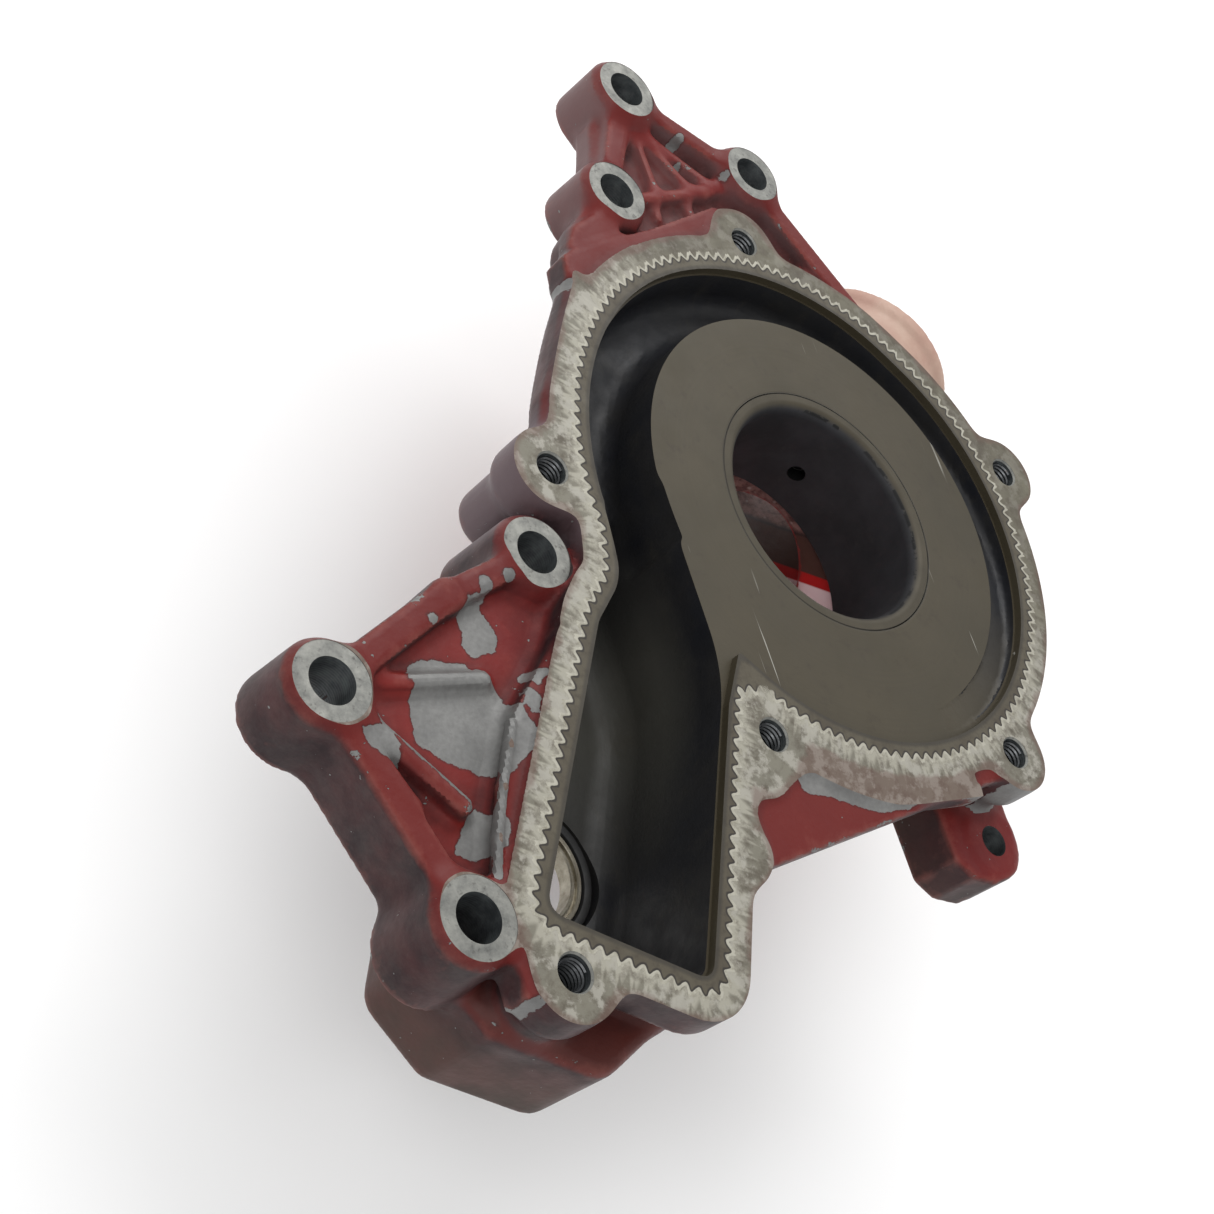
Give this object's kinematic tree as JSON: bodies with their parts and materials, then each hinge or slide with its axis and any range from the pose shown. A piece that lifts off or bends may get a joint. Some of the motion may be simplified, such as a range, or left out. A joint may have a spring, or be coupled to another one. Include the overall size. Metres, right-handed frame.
{
  "type": "coolant pump volute housing",
  "caption": "Spiral housing of an engine coolant pump with mounting brackets, open flanged volute, outlet chamber and rear suction elbow.",
  "frame": {"origin": "middle of the underside of the bounding box, with the housing lying on its back and the cover flange up", "axes": "+Z is the outward normal of the machined cover flange and the eye bore runs along it, +X and +Y lie in the flange plane with the top bracket towards +Y and the left bracket towards -X"},
  "size_m": [0.396, 0.3494, 0.132],
  "materials": {
    "housing_paint": "worn dark red paint on cast aluminium, bare machined faces",
    "elbow_paint": "red paint on cast aluminium",
    "machined": "turned, stained by coolant",
    "steel": "bright, slightly dull",
    "port_seal": "black, dull",
    "o_ring": "black, dull",
    "plug_brass": "dull"
  },
  "bodies": {
    "root": {"volute_housing": "housing_paint", "eye_ring": "machined", "cover_thread_insert_1": "steel", "cover_thread_insert_2": "steel", "cover_thread_insert_3": "steel", "cover_thread_insert_4": "steel", "cover_thread_insert_5": "steel", "cover_thread_insert_6": "steel", "outlet_port_seal": "port_seal", "outlet_port_sleeve": "steel", "suction_elbow": "elbow_paint", "elbow_o_ring": "o_ring", "elbow_bolt_1": "steel", "elbow_bolt_2": "steel", "elbow_bolt_3": "steel", "elbow_bolt_4": "steel", "passage_plug": "plug_brass"}
  },
  "joints": []
}
